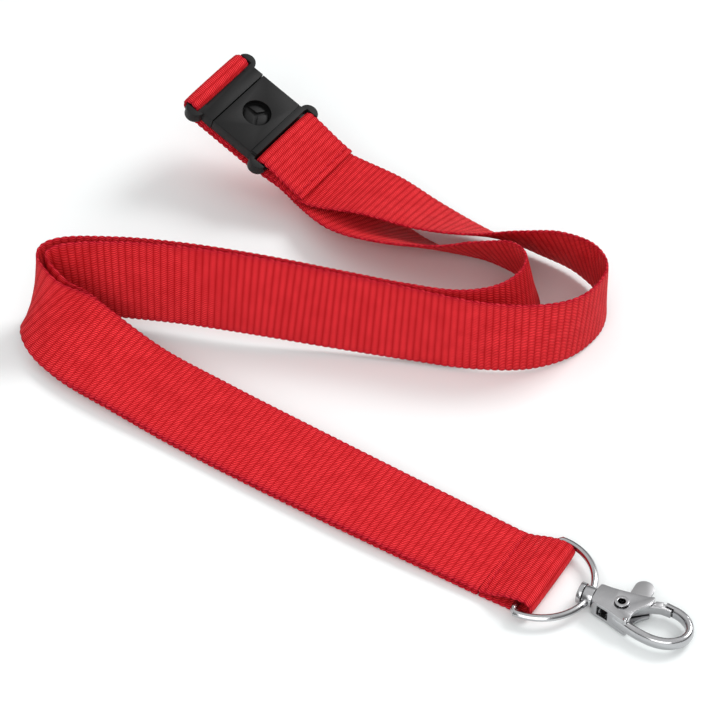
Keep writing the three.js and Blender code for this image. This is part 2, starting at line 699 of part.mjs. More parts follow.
addPiece(hookEnd, 'hook_frame', fromSolid(hookFrame()), nickel);
addPiece(hookEnd, 'swivel_rivet', fromSolid(swivelRivet()), nickel);
addPiece(hookEnd, 'pivot_rivet', fromSolid(pivotRivet()), nickel);
addPiece(hookEnd, 'trigger', fromSolid(triggerLever()), satin);
addPiece(hookEnd, 'trigger_spring', fromSolid(leverSpring()), springSteel);

// The origin is the middle of the whole outline, at its lowest point.
lanyard.updateMatrixWorld(true);
const outline = new THREE.Box3().setFromObject(lanyard, true);
const middle = outline.getCenter(new THREE.Vector3());
lanyard.position.set(-middle.x, -middle.y, -outline.min.z);

export default lanyard;
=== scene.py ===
"""Neck lanyard: two layers of ribbed webbing, a breakaway buckle, and a swivel trigger hook
on a D-ring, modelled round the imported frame. Sizes are in metres."""
import math

import bpy
import numpy as np
from mathutils import Matrix, Vector


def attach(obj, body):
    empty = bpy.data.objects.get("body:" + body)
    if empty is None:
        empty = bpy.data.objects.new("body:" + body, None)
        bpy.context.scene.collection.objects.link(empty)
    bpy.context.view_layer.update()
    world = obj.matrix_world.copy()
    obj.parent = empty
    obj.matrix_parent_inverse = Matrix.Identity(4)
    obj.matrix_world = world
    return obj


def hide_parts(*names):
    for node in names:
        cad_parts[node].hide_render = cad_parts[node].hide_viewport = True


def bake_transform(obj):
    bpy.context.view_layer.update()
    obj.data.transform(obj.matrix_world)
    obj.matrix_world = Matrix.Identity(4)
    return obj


bl_info = {
    "name": "Ribbed webbing lanyard",
    "version": (1, 0, 0),
    "blender": (4, 5, 0),
    "location": "3D View > Sidebar > Lanyard",
    "description": "Models a folded webbing lanyard with a buckle and a trigger hook",
    "category": "Add Mesh",
}

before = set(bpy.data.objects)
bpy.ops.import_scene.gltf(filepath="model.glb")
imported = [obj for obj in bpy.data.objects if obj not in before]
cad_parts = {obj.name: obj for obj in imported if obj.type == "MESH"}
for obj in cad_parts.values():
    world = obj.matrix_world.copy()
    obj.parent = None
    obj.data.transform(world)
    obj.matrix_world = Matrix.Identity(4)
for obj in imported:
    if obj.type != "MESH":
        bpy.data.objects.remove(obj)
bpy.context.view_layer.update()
MM = 0.001

# ------------------------------------------------------------------ the frame's own sizes (mm)
ORIGIN_SHIFT = Vector((6.2323, 2.87645, 0))
CLEARANCE = 0.3
WEB_WIDTH = 25
WEB_THICK = 1.2
LAYER_STEP = WEB_THICK + CLEARANCE
BUCKLE_SEAT = ((-31.7, 84.4, 22.2), 145, 22, -8)
FOLD_SEAT = ((46.2, -85.4, 0), -31, 0, 0)
RING_HEIGHT = 3.1  # of the ring bar's middle, over the floor
SEAM_TO_BAR = 10.8
FOLD_REACH = 5.2
RING_WIRE = 2
BUCKLE_THICK = 4.6
BAR_RADIUS = 1.15
WINDOW_INSET = 7.3
SOCKET_BODY, SOCKET_SLOT = 16.9, 2.4
PLUG_BAND, PLUG_SLOT = 5.6, 2.1
SOCKET_BAR = SOCKET_BODY - WINDOW_INSET + SOCKET_SLOT + BAR_RADIUS  # both from the window
PLUG_BAR = WINDOW_INSET + PLUG_BAND + PLUG_SLOT + BAR_RADIUS
WRAP_RADIUS = BAR_RADIUS + CLEARANCE + WEB_THICK / 2
FLAP_LENGTH = 15.5
SOCKET_JOIN = SOCKET_BAR + 4.5
PLUG_JOIN = -6
UNDER_BUCKLE = BUCKLE_THICK / 2 + LAYER_STEP + WEB_THICK / 2 + CLEARANCE
BUCKLE_LEAN = 180 - BUCKLE_SEAT[3]

# Stations of the routes: x, y, z, and how far the strap's width leans from level, in degrees.
SHARED_ROUTE = [
    (9, -62.3, 2, 4), (-18.5, -44, 2.6, 8), (-44, -26.3, 3, 10), (-65, -11, 4, 10),
    (-80.8, 0.8, 8, 34), (-88.8, 9.8, 13.6, 68), (-87, 17.2, 15.5, 88), (-70.5, 16.2, 16.4, 102),
    (-51, 13.2, 16.8, 105), (-30, 9, 16.4, 105), (-8, 5, 14.6, 102),
]
# From the socket strap's middle to the plug strap's, at each station that they share.
LAYER_PITCH = [1.7, 1.7, 1.7, 1.7, 1.8, 2.2, 3, 3.2, 2.9, 2.5, 2.1, 1.9]
OUTER_TURN = [
    (13.5, 0.4, 13.5, 98), (31.5, -3.8, 13.1, 93), (48, -4.7, 13.1, 89), (61.3, 0.2, 13, 85),
    (69.6, 11.4, 13.1, 89), (68.7, 22.7, 13.3, 102), (60.5, 32.2, 12.7, 115),
    (48.8, 38.6, 11.2, 128), (35.4, 44.2, 10, 144), (21, 50.9, 10.6, 159), (6.8, 58.6, 12.2, 172),
]
INNER_TURN = [
    (13.5, 2.3, 13.5, 97), (28, 0.6, 13.2, 94), (39.5, 3, 13.2, 95), (47.3, 9.8, 13.4, 98),
    (49.4, 18.5, 13.4, 103), (45.8, 27, 13, 115), (35.5, 33.6, 11.4, 129), (22, 38.6, 9, 140),
    (9.5, 46, 7.4, 153), (-1.5, 56.2, 7, 170),
]


def seat_matrix(seat):
    (x, y, z), heading, climb, roll = seat
    turn = (
        Matrix.Rotation(math.radians(heading), 4, "Z")
        @ Matrix.Rotation(math.radians(-climb), 4, "Y")
        @ Matrix.Rotation(math.radians(roll), 4, "X")
    )
    return Matrix.Translation(Vector((x, y, z)) + ORIGIN_SHIFT) @ turn


BUCKLE = seat_matrix(BUCKLE_SEAT)
FOLD = seat_matrix(FOLD_SEAT)


# ------------------------------------------------------------------ scene helpers
def deselect():
    if bpy.context.object and bpy.context.object.mode != "OBJECT":
        bpy.ops.object.mode_set(mode="OBJECT")
    bpy.ops.object.select_all(action="DESELECT")


def make_active(obj):
    deselect()
    obj.select_set(True)
    bpy.context.view_layer.objects.active = obj
    return obj


def newest(name):
    obj = bpy.context.object
    obj.name = name
    obj.data.name = name
    return obj


def apply_modifier(obj, kind, **settings):
    make_active(obj)
    bpy.ops.object.modifier_add(type=kind)
    modifier = obj.modifiers[-1]
    for key, value in settings.items():
        setattr(modifier, key, value)
    bpy.ops.object.modifier_apply(modifier=modifier.name)
    return obj


def set_place(obj, matrix):
    """Moves a shape drawn in millimetres in a seat's frame to its place, in its mesh."""
    obj.data.transform(Matrix.Scale(MM, 4) @ matrix @ obj.matrix_world)
    obj.matrix_world = Matrix.Identity(4)
    return obj


def smooth(obj, angle=35):
    make_active(obj)
    bpy.ops.object.shade_smooth_by_angle(angle=math.radians(angle))
    return obj


def finish_piece(obj, body, material, nodes=()):
    obj.data.materials.clear()
    obj.data.materials.append(material)
    if body:
        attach(obj, body)
    if nodes:
        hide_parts(*nodes)
    return obj


# ------------------------------------------------------------------ shader expressions
class Socket:
    """One output socket, with arithmetic that adds Math nodes."""

    def __init__(self, tree, output):
        self.tree, self.output = tree, output

    def math(self, operation, *others):
        node = self.tree.nodes.new("ShaderNodeMath")
        node.operation = operation
        for index, value in enumerate((self, *others)):
            if isinstance(value, Socket):
                self.tree.links.new(value.output, node.inputs[index])
            else:
                node.inputs[index].default_value = value
        return Socket(self.tree, node.outputs[0])

    def reflected(self, operation, other):
        node = self.tree.nodes.new("ShaderNodeMath")
        node.operation = operation
        node.inputs[0].default_value = other
        self.tree.links.new(self.output, node.inputs[1])
        return Socket(self.tree, node.outputs[0])

    def __add__(self, other):
        return self.math("ADD", other)

    __radd__ = __add__

    def __sub__(self, other):
        return self.math("SUBTRACT", other)

    def __rsub__(self, other):
        return self.reflected("SUBTRACT", other)

    def __mul__(self, other):
        return self.math("MULTIPLY", other)

    __rmul__ = __mul__

    def __pow__(self, other):
        return self.math("POWER", other)

    def sin(self):
        return self.math("SINE")

    def abs(self):
        return self.math("ABSOLUTE")

    def clamp(self):
        return self.math("MINIMUM", 1.0).math("MAXIMUM", 0.0)

    def fract(self):
        return self.math("FRACT")


class Shader:
    """A material under construction."""

    def __init__(self, name):
        self.material = bpy.data.materials.new(name)
        self.material.use_nodes = True
        self.tree = self.material.node_tree
        self.bsdf = self.tree.nodes["Principled BSDF"]

    def node(self, kind, settings=(), out=0, **values):
        node = self.tree.nodes.new(kind)
        for key, value in dict(settings).items():
            if key == "stops":
                self.set_stops(node.color_ramp, value)
            else:
                setattr(node, key, value)
        for key, value in values.items():
            socket = node.inputs[key.replace("_", " ")] if not key.startswith("i_") else (
                node.inputs[int(key[2:])]
            )
            self.feed(socket, value)
        return Socket(self.tree, node.outputs[out])

    @staticmethod
    def set_stops(ramp, stops):
        while len(ramp.elements) < len(stops):
            ramp.elements.new(1)
        for element, (place, colour) in zip(ramp.elements, stops):
            element.position = place
            element.color = (*colour, 1)

    def feed(self, socket, value):
        if isinstance(value, Socket):
            self.tree.links.new(value.output, socket)
        else:
            socket.default_value = value

    def set(self, **values):
        for key, value in values.items():
            self.feed(self.bsdf.inputs[key.replace("_", " ")], value)
        return self

    def object_coords(self):
        return self.node("ShaderNodeTexCoord", out=3)

    def noise(self, scale, detail, roughness=0.5):
        return self.node(
            "ShaderNodeTexNoise", Vector=self.object_coords(), Scale=scale, Detail=detail,
            Roughness=roughness,
        )

    def mix(self, factor, first, second):
        return self.node(
            "ShaderNodeMix", {"data_type": "RGBA"}, out=2, i_0=factor, i_6=first, i_7=second,
        )

    def bump(self, height, distance, strength):
        return self.node("ShaderNodeBump", Height=height, Distance=distance, Strength=strength)


def rgb(*values):
    """An sRGB colour out of 255 as a linear RGBA value."""
    linear = [
        (v / 255 / 12.92) if v <= 10 else ((v / 255 + 0.055) / 1.055) ** 2.4 for v in values
    ]
    return (*linear, 1.0)


# ------------------------------------------------------------------ materials
FLOAT_SLANT = 0.95  # how many floats a float passes on its way over a rib
FLOAT_SHIFT = 0.37  # how far the floats step from one rib to the next
FLOAT_WANDER = 0.5  # how uneven the floats are
WANDER_SCALE = 900  # noise scales, to the metre
# scale of the painted sheen: blotches that brighten and darken the floats in place of light
# reflected off the webbing
SHEEN_BLOTCH_SCALE = 260
YARN_SCALE = 4200
SELVEDGE_SHARE = 0.55


def webbing_material(name, length, rib, settings):
    """Ribs across the strap, each a row of short slanted floats. The "weave" map holds how far
    along the strap and how far across it a place is."""
    s = Shader(name)
    uv = s.node("ShaderNodeUVMap", {"uv_map": "weave"})
    along = s.node("ShaderNodeSeparateXYZ", out=0, Vector=uv)
    across = s.node("ShaderNodeSeparateXYZ", out=1, Vector=uv)
    rib_phase = along * (length / rib)
    place = rib_phase.fract()
    row = rib_phase - place
    wander = s.noise(WANDER_SCALE, 2)
    slanted = across * (WEB_WIDTH / settings.bead) + place * FLOAT_SLANT
    phase = slanted + row * FLOAT_SHIFT + wander * FLOAT_WANDER
    dash = (phase * (2 * math.pi)).sin() * 0.5 + 0.5
    crest = (rib_phase * math.pi).sin().abs()
    weave = (crest ** 0.35) * (dash * 0.92 + 0.08)
    # painted sheen: soft blotches that raise and lower the floats' brightness, standing in for
    # reflected light
    sheen_blotches = s.noise(SHEEN_BLOTCH_SCALE, 4, roughness=0.6)
    yarn = s.noise(YARN_SCALE, 2)
    tone = (weave * (sheen_blotches * 1.1 + 0.55) + yarn * 0.12 - 0.16).clamp()
    edge = ((across - 0.5).abs() * 2) ** 16
    # the groove colour between ribs and floats is painted shade; the bead colour on the float
    # tops is painted highlight
    ground = s.mix(tone, tuple(settings.deep), tuple(settings.bright))
    colour = s.mix(edge * SELVEDGE_SHARE, ground, tuple(settings.selvedge))
    normal = s.bump(weave + yarn * 0.2, 0.0002, 0.9)
    s.set(
        Base_Color=colour, Roughness=(0.8 - weave * 0.2).clamp(), Normal=normal,
        Specular_IOR_Level=0.1,
    )
    return s.material


def thread_material():
    s = Shader("sewing thread")
    twist = s.node(
        "ShaderNodeTexWave", {"bands_direction": "DIAGONAL"}, out=1,
        Vector=s.object_coords(), Scale=900, Distortion=1.5,
    )
    s.set(
        # the twist's dark and light bands are painted shade and painted highlight along the
        # thread
        Base_Color=s.mix(twist, rgb(164, 4, 24), rgb(216, 30, 46)),
        Normal=s.bump(twist, 0.00008, 0.6), Roughness=0.6, Specular_IOR_Level=0.2,
    )
    return s.material


def plastic_material(settings):
    s = Shader("moulded plastic")
    grain = s.noise(3800, 3, roughness=0.65)
    cloud = s.noise(160, 3)
    s.set(
        Base_Color=s.mix(cloud, tuple(settings.plastic_dark), tuple(settings.plastic_light)),
        Roughness=(0.42 + grain * 0.16 + cloud * 0.06), Normal=s.bump(grain, 0.00003, 0.5),
        Specular_IOR_Level=0.22,
    )
    return s.material


def metal_material(name, light, dark, roughness, grain_scale):
    s = Shader(name)
    cloud = s.noise(240, 4)
    grain = s.noise(grain_scale, 3)
    s.set(
        Base_Color=s.mix(cloud, light, dark), Metallic=1.0,
        Roughness=(roughness + cloud * 0.08 + grain * 0.05),
        Normal=s.bump(grain, 0.00001, 0.35),
    )
    return s.material


# ------------------------------------------------------------------ strap routes
def spline_point(points, t):
    """A uniform Catmull-Rom curve through the points, its ends run on in line."""
    spans = len(points) - 1
    place = min(max(t, 0), 1) * spans
    index = min(int(place), spans - 1)
    w = place - index
    p1, p2 = points[index], points[index + 1]
    p0 = points[index - 1] if index > 0 else [2 * a - b for a, b in zip(p1, p2)]
    p3 = points[index + 2] if index + 2 <= spans else [2 * b - a for a, b in zip(p1, p2)]
    return [
        b + 0.5 * w * (c - a + w * (2 * a - 5 * b + 4 * c - d + w * (3 * (b - c) + d - a)))
        for a, b, c, d in zip(p0, p1, p2, p3)
    ]


def route_frame(points, station):
    """A strap's middle, the way across it and the normal of its face, at a station."""
    spans = len(points) - 1
    t = station / spans
    here = spline_point(points, t)
    ahead = Vector(spline_point(points, min(t + 1e-4, 1))[:3])
    behind = Vector(spline_point(points, max(t - 1e-4, 0))[:3])
    along = (ahead - behind).normalized()
    lean = math.radians(here[3])
    level = Vector((along.y, -along.x, 0)).normalized()
    across = level * math.cos(lean) + level.cross(along) * math.sin(lean)
    return Vector(here[:3]), across, across.cross(along)


def smoothstep(x, low, high):
    x = min(max((x - low) / (high - low), 0), 1)
    return x * x * (3 - 2 * x)


def seat_station(seat, x, z, lean):
    """A station at a place in a seat's X and Z."""
    p = seat @ Vector((x, 0, z)) - ORIGIN_SHIFT
    return (p.x, p.y, p.z, lean)


FOLD_START = seat_station(FOLD, -SEAM_TO_BAR, WEB_THICK / 2, 0)
SHARED = [FOLD_START, *SHARED_ROUTE]
SHARED_END = len(SHARED) - 1
SOCKET_STATIONS = [
    *SHARED, *OUTER_TURN,
    seat_station(BUCKLE, -SOCKET_BAR - FLAP_LENGTH, -WEB_THICK, BUCKLE_LEAN),
    seat_station(BUCKLE, -SOCKET_JOIN, -WRAP_RADIUS * 0.7, BUCKLE_LEAN),
]


def socket_frame(station):
    return route_frame(SOCKET_STATIONS, station)


def layered_frame(station):
    """The plug strap's frame where it lies over the socket strap."""
    at, across, face = socket_frame(station)
    pitches = [(i, pitch) for i, pitch in enumerate(LAYER_PITCH)]
    pitch = spline_point(pitches, min(station / SHARED_END, 1))[1]
    return at + face * pitch, across, face


PLUG_STATIONS = [
    *[(*layered_frame(i)[0], SHARED[i][3]) for i in range(len(SHARED))],
    *INNER_TURN,
    seat_station(BUCKLE, -SOCKET_BAR - FLAP_LENGTH, -1.4 * WEB_THICK - LAYER_STEP, BUCKLE_LEAN),
    seat_station(BUCKLE, -SOCKET_BAR - 2, -WRAP_RADIUS - LAYER_STEP, BUCKLE_LEAN),
    seat_station(BUCKLE, PLUG_JOIN, -UNDER_BUCKLE, BUCKLE_LEAN),
]


def plug_frame(station):
    """On the socket strap at first, then eased off on to the plug strap's own stations."""
    own = route_frame(PLUG_STATIONS, station)
    if station >= SHARED_END:
        return own
    leave = smoothstep(station, SHARED_END - 1, SHARED_END)
    at, across, face = (a.lerp(b, leave) for a, b in zip(layered_frame(station), own))
    return at, across.normalized(), face.normalized()


def route_samples(frame_at, last, per_station=16):
    count = round(last * per_station)
    return [frame_at(last * i / count) for i in range(count + 1)]


def path_samples(seat, points):
    """Frames along a flat path drawn in a seat's X and Z."""
    across = (seat.to_3x3() @ Vector((0, -1, 0))).normalized()
    places = [seat @ Vector((x, 0, z)) - ORIGIN_SHIFT for x, z in points]
    made = []
    for i, at in enumerate(places):
        along = (places[min(i + 1, len(places) - 1)] - places[max(i - 1, 0)]).normalized()
        made.append((at, across, across.cross(along)))
    return made


def bezier(p0, p1, p2, p3, count):
    made = []
    for i in range(count):
        t = i / count
        a, b, c, d = (1 - t) ** 3, 3 * t * (1 - t) ** 2, 3 * t * t * (1 - t), t ** 3
        made.append(tuple(a * w + b * x + c * y + d * z for w, x, y, z in zip(p0, p1, p2, p3)))
    return made


def arc(x, z, radius, start, end, count):
    angles = [math.radians(start + (end - start) * i / count) for i in range(count)]
    return [(x + radius * math.cos(a), z + radius * math.sin(a)) for a in angles]


# ------------------------------------------------------------------ webbing
SIDE_ROUNDING = 0.8  # powers that square off the strap's round section
FACE_FLATNESS = 0.35
CREST_FULLNESS = 0.6
END_WIDTH = 0.996  # the first and last rows, drawn in a little
END_THICK = 0.8
AROUND = 26  # mesh columns round the strap's section
RIB_DEPTH = 0.17  # of the grooves, as a share of half the thickness
FOLD_RIB_DEPTH = 0.15
PLUG_RIB_START = 0.7  # mm, so that the two layers' ribs don't line up


def powered(values, power):
    return np.sign(values) * np.abs(values) ** power


def even_frames(samples, step):
    """Frames at an even step along the strap, as arrays, and the strap's length."""
    at = np.array([s[0] for s in samples])
    across = np.array([s[1] for s in samples])
    face = np.array([s[2] for s in samples])
    hops = np.linalg.norm(np.diff(at, axis=0), axis=1)
    travelled = np.concatenate([[0], np.cumsum(hops)])
    length = travelled[-1]
    count = max(int(round(length / step)), 8)
    wanted = np.linspace(0, length, count + 1)

    def even(values):
        return np.stack([np.interp(wanted, travelled, values[:, k]) for k in range(3)], axis=1)

    def unit(values):
        return values / np.linalg.norm(values, axis=1, keepdims=True)

    return even(at), unit(even(across)), unit(even(face)), wanted, length


def ribbed_strap(name, samples, settings, rib, start=0.0, depth=RIB_DEPTH):
    """A strap whose ribs, rounded edges and scalloped selvedges are in its mesh. It is a
    grid bent into a flat tube along the frames, then closed along its join and its ends."""
    at, across, face, wanted, length = even_frames(samples, rib / settings.rib_steps)
    rows = len(wanted)
    deselect()
    bpy.ops.mesh.primitive_grid_add(
        x_subdivisions=rows - 1, y_subdivisions=AROUND, size=2, calc_uvs=True,
    )
    obj = newest(name)
    mesh = obj.data
    flat = np.empty(len(mesh.vertices) * 3)
    mesh.vertices.foreach_get("co", flat)
    flat = flat.reshape(-1, 3)
    row = np.rint((flat[:, 0] + 1) / 2 * (rows - 1)).astype(int)
    angle = (flat[:, 1] + 1) / 2 * 2 * np.pi
    crest = np.abs(np.sin(np.pi * (wanted + start) / rib)) ** CREST_FULLNESS
    width = (WEB_WIDTH / 2) * (1 - settings.scallop * (1 - crest[row]))
    thick = (WEB_THICK / 2) * (1 - depth * (1 - crest[row]))
    side = powered(-np.cos(angle), SIDE_ROUNDING)
    at_end = (row == 0) | (row == rows - 1)
    a = side * width * np.where(at_end, END_WIDTH, 1)
    h = powered(np.sin(angle), FACE_FLATNESS) * thick * np.where(at_end, END_THICK, 1)
    place = at[row] + across[row] * a[:, None] + face[row] * h[:, None]
    place = (place + np.array(ORIGIN_SHIFT)) * MM
    mesh.vertices.foreach_set("co", place.reshape(-1))
    mesh.update()
    corner = np.empty(len(mesh.loops), dtype=int)
    mesh.loops.foreach_get("vertex_index", corner)
    run = (wanted[row] + start) / length
    over = (side + 1) / 2
    mesh.uv_layers[0].name = "UVMap"
    weave = mesh.uv_layers.new(name="weave")
    weave.data.foreach_set("uv", np.stack([run, over], axis=1)[corner].reshape(-1))
    make_active(obj)
    bpy.ops.object.mode_set(mode="EDIT")
    bpy.ops.mesh.select_all(action="SELECT")
    bpy.ops.mesh.remove_doubles(threshold=1e-7)
    bpy.ops.mesh.select_all(action="DESELECT")
    bpy.ops.mesh.select_mode(type="EDGE")
    bpy.ops.mesh.select_non_manifold()
    bpy.ops.mesh.fill_holes(sides=0)
    bpy.ops.mesh.select_all(action="SELECT")
    bpy.ops.mesh.normals_make_consistent(inside=False)
    bpy.ops.object.mode_set(mode="OBJECT")
    bpy.ops.object.shade_smooth()
    return obj, length


def hook_fold_path():
    """Along under the ring's bar, round it and back to the seam."""
    low, high = WEB_THICK / 2, WEB_THICK / 2 + LAYER_PITCH[0]
    over = RING_HEIGHT + RING_WIRE / 2 + 2 * CLEARANCE + WEB_THICK / 2
    turn = (over - low) / 2
    nose = FOLD_REACH - WEB_THICK / 2 - turn
    start = -SEAM_TO_BAR + 0.05
    return [
        *[(start + (nose - start) * i / 20, low) for i in range(20)],
        *arc(nose, low + turn, turn, -90, 90, 24),
        *bezier((nose, over), (nose - 6, over), (-SEAM_TO_BAR + 5, high), (start, high), 30),
        (start, high),
    ]


def socket_wrap_path():
    """Drawn round the socket's bar, which is at the path's origin."""
    tail = SOCKET_JOIN - SOCKET_BAR
    low = -WRAP_RADIUS * 0.8
    high = LAYER_STEP - WEB_THICK
    snug = WRAP_RADIUS + 0.55
    top = (0, WRAP_RADIUS)
    rest = (-FLAP_LENGTH, high)
    return [
        *bezier((-tail, low), (-tail + 2, low), (-4, -WRAP_RADIUS), (0, -WRAP_RADIUS), 12),
        *bezier((0, -WRAP_RADIUS), (1.6, -WRAP_RADIUS), (snug, -1.4), (snug, 0), 12),
        *bezier((snug, 0), (snug, 1.6), (1.9, WRAP_RADIUS), top, 12),
        *bezier(top, (-4, WRAP_RADIUS), (-FLAP_LENGTH + 7, high), rest, 30),
        rest,
    ]


def plug_wrap_path():
    """Under the buckle, round the plug's bar and back over the first layer."""
    low = -UNDER_BUCKLE
    high = low + LAYER_STEP
    bar, over = PLUG_BAR, WRAP_RADIUS
    leave, land, finish = bar - 4, bar - 5, PLUG_JOIN + 5
    snug = bar - over - 0.45
    return [
        *[(PLUG_JOIN + (leave - PLUG_JOIN) * i / 24, low) for i in range(24)],
        *bezier((leave, low), (bar - 1, low), (bar + over, -over * 1.2), (bar + over, 0), 20),
        *arc(bar, 0, over, 0, 90, 12),
        *bezier((bar, over), (bar - 1.6, over), (snug, over), (snug, 0.6), 12),
        *bezier((snug, 0.6), (snug + 0.15, -2.6), (bar - over, high), (land, high), 20),
        *[(land + (finish - land) * i / 20, high) for i in range(21)],
    ]


# ------------------------------------------------------------------ hard pieces
MERGE_WITHIN = 2e-6
FLAT_WITHIN = math.radians(1.5)


def merged_copy(node, name):
    """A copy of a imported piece, its loose faces merged, ready to be shaped."""
    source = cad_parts[node]
    obj = source.copy()
    obj.data = source.data.copy()
    obj.parent = None
    obj.matrix_world = source.matrix_world
    bpy.context.scene.collection.objects.link(obj)
    obj.name = name
    obj.hide_render = False
    for key in list(obj.keys()):
        del obj[key]
    make_active(obj)
    bpy.ops.object.mode_set(mode="EDIT")
    bpy.ops.mesh.select_all(action="SELECT")
    bpy.ops.mesh.remove_doubles(threshold=MERGE_WITHIN)
    bpy.ops.mesh.dissolve_limited(angle_limit=FLAT_WITHIN)
    bpy.ops.object.mode_set(mode="OBJECT")
    return obj


def eased_copy(node, name, width, segments=3, angle=32):
    """A merged copy with its sharp edges rounded to the width, in millimetres."""
    obj = merged_copy(node, name)
    apply_modifier(
        obj, "BEVEL", width=width * MM, segments=segments, limit_method="ANGLE",
        angle_limit=math.radians(angle), use_clamp_overlap=True, harden_normals=False,
    )
    return smooth(obj)


# ------------------------------------------------------------------ settings
class LanyardWebbing(bpy.types.PropertyGroup):
    rib: bpy.props.FloatProperty(
        name="Rib pitch", description="Distance from rib to rib along the strap, in mm",
        default=2.0, min=0.5, max=5,
    )
    fold_rib: bpy.props.FloatProperty(
        name="Fold rib pitch", description="Rib pitch seen on the sewn folds, in mm",
        default=2.0, min=0.3, max=5,
    )
    bead: bpy.props.FloatProperty(
        name="Float pitch", description="Distance between the floats along a rib, in mm",
        default=0.6, min=0.2, max=2,
    )
    scallop: bpy.props.FloatProperty(
        name="Scallop", description="How far the selvedge dips between ribs, share of half width",
        default=0.03, min=0, max=0.1,
    )
    rib_steps: bpy.props.IntProperty(
        name="Rib steps", description="Mesh rows to each rib", default=7, min=4, max=12,
    )
    # painted shade: the darker red between the ribs and floats
    deep: bpy.props.FloatVectorProperty(
        name="Groove colour", description="Colour between the ribs", subtype="COLOR", size=4,
        default=rgb(166, 0, 6), min=0, max=1,
    )
    # painted highlight: the brighter red on the floats' tops
    bright: bpy.props.FloatVectorProperty(
        name="Bead colour", description="Colour on the beads", subtype="COLOR", size=4,
        default=rgb(255, 62, 70), min=0, max=1,
    )
    selvedge: bpy.props.FloatVectorProperty(
        name="Selvedge colour", description="Colour along the edges", subtype="COLOR", size=4,
        default=rgb(150, 4, 40), min=0, max=1,
    )


class LanyardFittings(bpy.types.PropertyGroup):
    plastic_dark: bpy.props.FloatVectorProperty(
        name="Plastic, dark", description="Darker tone of the buckle", subtype="COLOR", size=4,
        default=rgb(12, 12, 13), min=0, max=1,
    )
    plastic_light: bpy.props.FloatVectorProperty(
        name="Plastic, light", description="Lighter tone of the buckle", subtype="COLOR",
        size=4, default=rgb(22, 22, 22), min=0, max=1,
    )
    buckle_edge: bpy.props.FloatProperty(
        name="Buckle edge", description="Radius of the buckle's eased edges, in mm",
        default=0.3, min=0.05, max=1,
    )
    hook_edge: bpy.props.FloatProperty(
        name="Hook edge", description="Radius of the hook's eased edges, in mm",
        default=0.35, min=0.05, max=1,
    )


def webbing_settings():
    return bpy.context.scene.lanyard_webbing


def fitting_settings():
    return bpy.context.scene.lanyard_fittings


class LANYARD_OT_socket_strap(bpy.types.Operator):
    """The outer layer, from the hook-end seam to the socket half of the buckle"""

    bl_idname = "lanyard.socket_strap"
    bl_label = "Socket strap"

    def execute(self, context):
        settings = webbing_settings()
        samples = route_samples(socket_frame, len(SOCKET_STATIONS) - 1)
        obj, length = ribbed_strap("socket_strand", samples, settings, settings.rib)
        material = webbing_material("webbing, socket side", length, settings.rib, settings)
        nodes = [f"socket_strap_{part}" for part in ("lower", "bend", "middle", "turn", "end")]
        finish_piece(obj, "strap", material, nodes)
        length * MM
        return {"FINISHED"}


class LANYARD_OT_plug_strap(bpy.types.Operator):
    """The inner layer, from the hook-end seam to the plug half of the buckle"""

    bl_idname = "lanyard.plug_strap"
    bl_label = "Plug strap"

    def execute(self, context):
        settings = webbing_settings()
        samples = route_samples(plug_frame, len(PLUG_STATIONS) - 1)
        obj, length = ribbed_strap(
            "plug_strand", samples, settings, settings.rib, start=PLUG_RIB_START,
        )
        material = webbing_material("webbing, plug side", length, settings.rib, settings)
        nodes = [f"plug_strap_{part}" for part in ("lower", "bend", "middle", "turn", "end")]
        finish_piece(obj, None, material, nodes)
        length * MM
        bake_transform(obj)
        return {"FINISHED"}


class LANYARD_OT_folds(bpy.types.Operator):
    """The three sewn loops: round the D-ring's bar and round each buckle bar"""

    bl_idname = "lanyard.folds"
    bl_label = "Sewn folds"

    def execute(self, context):
        settings = webbing_settings()
        rib = settings.fold_rib
        socket_path = [(x - SOCKET_BAR, z) for x, z in socket_wrap_path()]
        loops = [
            ("hook_fold_webbing", FOLD, hook_fold_path(), "hook_fold", "strap"),
            ("socket_flap_webbing", BUCKLE, socket_path, "socket_flap", "strap"),
            ("plug_flap_webbing", BUCKLE, plug_wrap_path(), "plug_flap", "plug"),
        ]
        for name, seat, path, node, body in loops:
            samples = path_samples(seat, path)
            obj, length = ribbed_strap(name, samples, settings, rib, depth=FOLD_RIB_DEPTH)
            material = webbing_material(f"webbing, {name}", length, rib, settings)
            finish_piece(obj, body, material, [node])
            length * MM
        return {"FINISHED"}


class LANYARD_OT_stitches(bpy.types.Operator):
    """The rows of thread across the three sewn folds"""

    bl_idname = "lanyard.stitches"
    bl_label = "Stitches"

    def execute(self, context):
        material = thread_material()
        rows = [  # name, seat, x, node, body, 1 over or -1 under the height, height
            ("hook_stitches", FOLD, -SEAM_TO_BAR + 1.6, "hook_seam", "strap", 1, 3.0),
            ("socket_stitches", BUCKLE, -SOCKET_BAR - FLAP_LENGTH + 2, "socket_seam", "strap", 1,
             LAYER_STEP - WEB_THICK / 2),
            ("plug_stitches", BUCKLE, PLUG_JOIN + 6.6, "plug_seam", "plug", -1,
             -UNDER_BUCKLE - WEB_THICK / 2),
        ]
        for name, seat, x, node, body, side, z in rows:
            obj = stitch_row(name, seat, x, z, side)
            finish_piece(obj, body, material, [node])
        return {"FINISHED"}


STITCHES = 12  # in a row
STITCH_PITCH = 1.9
STITCH_HALF = (0.28, 0.47 * STITCH_PITCH, 0.24)
STITCH_DROP = 0.5  # how fast a stitch's ends go down
STITCH_STAGGER = 0.12
STITCH_RISE = 0.12


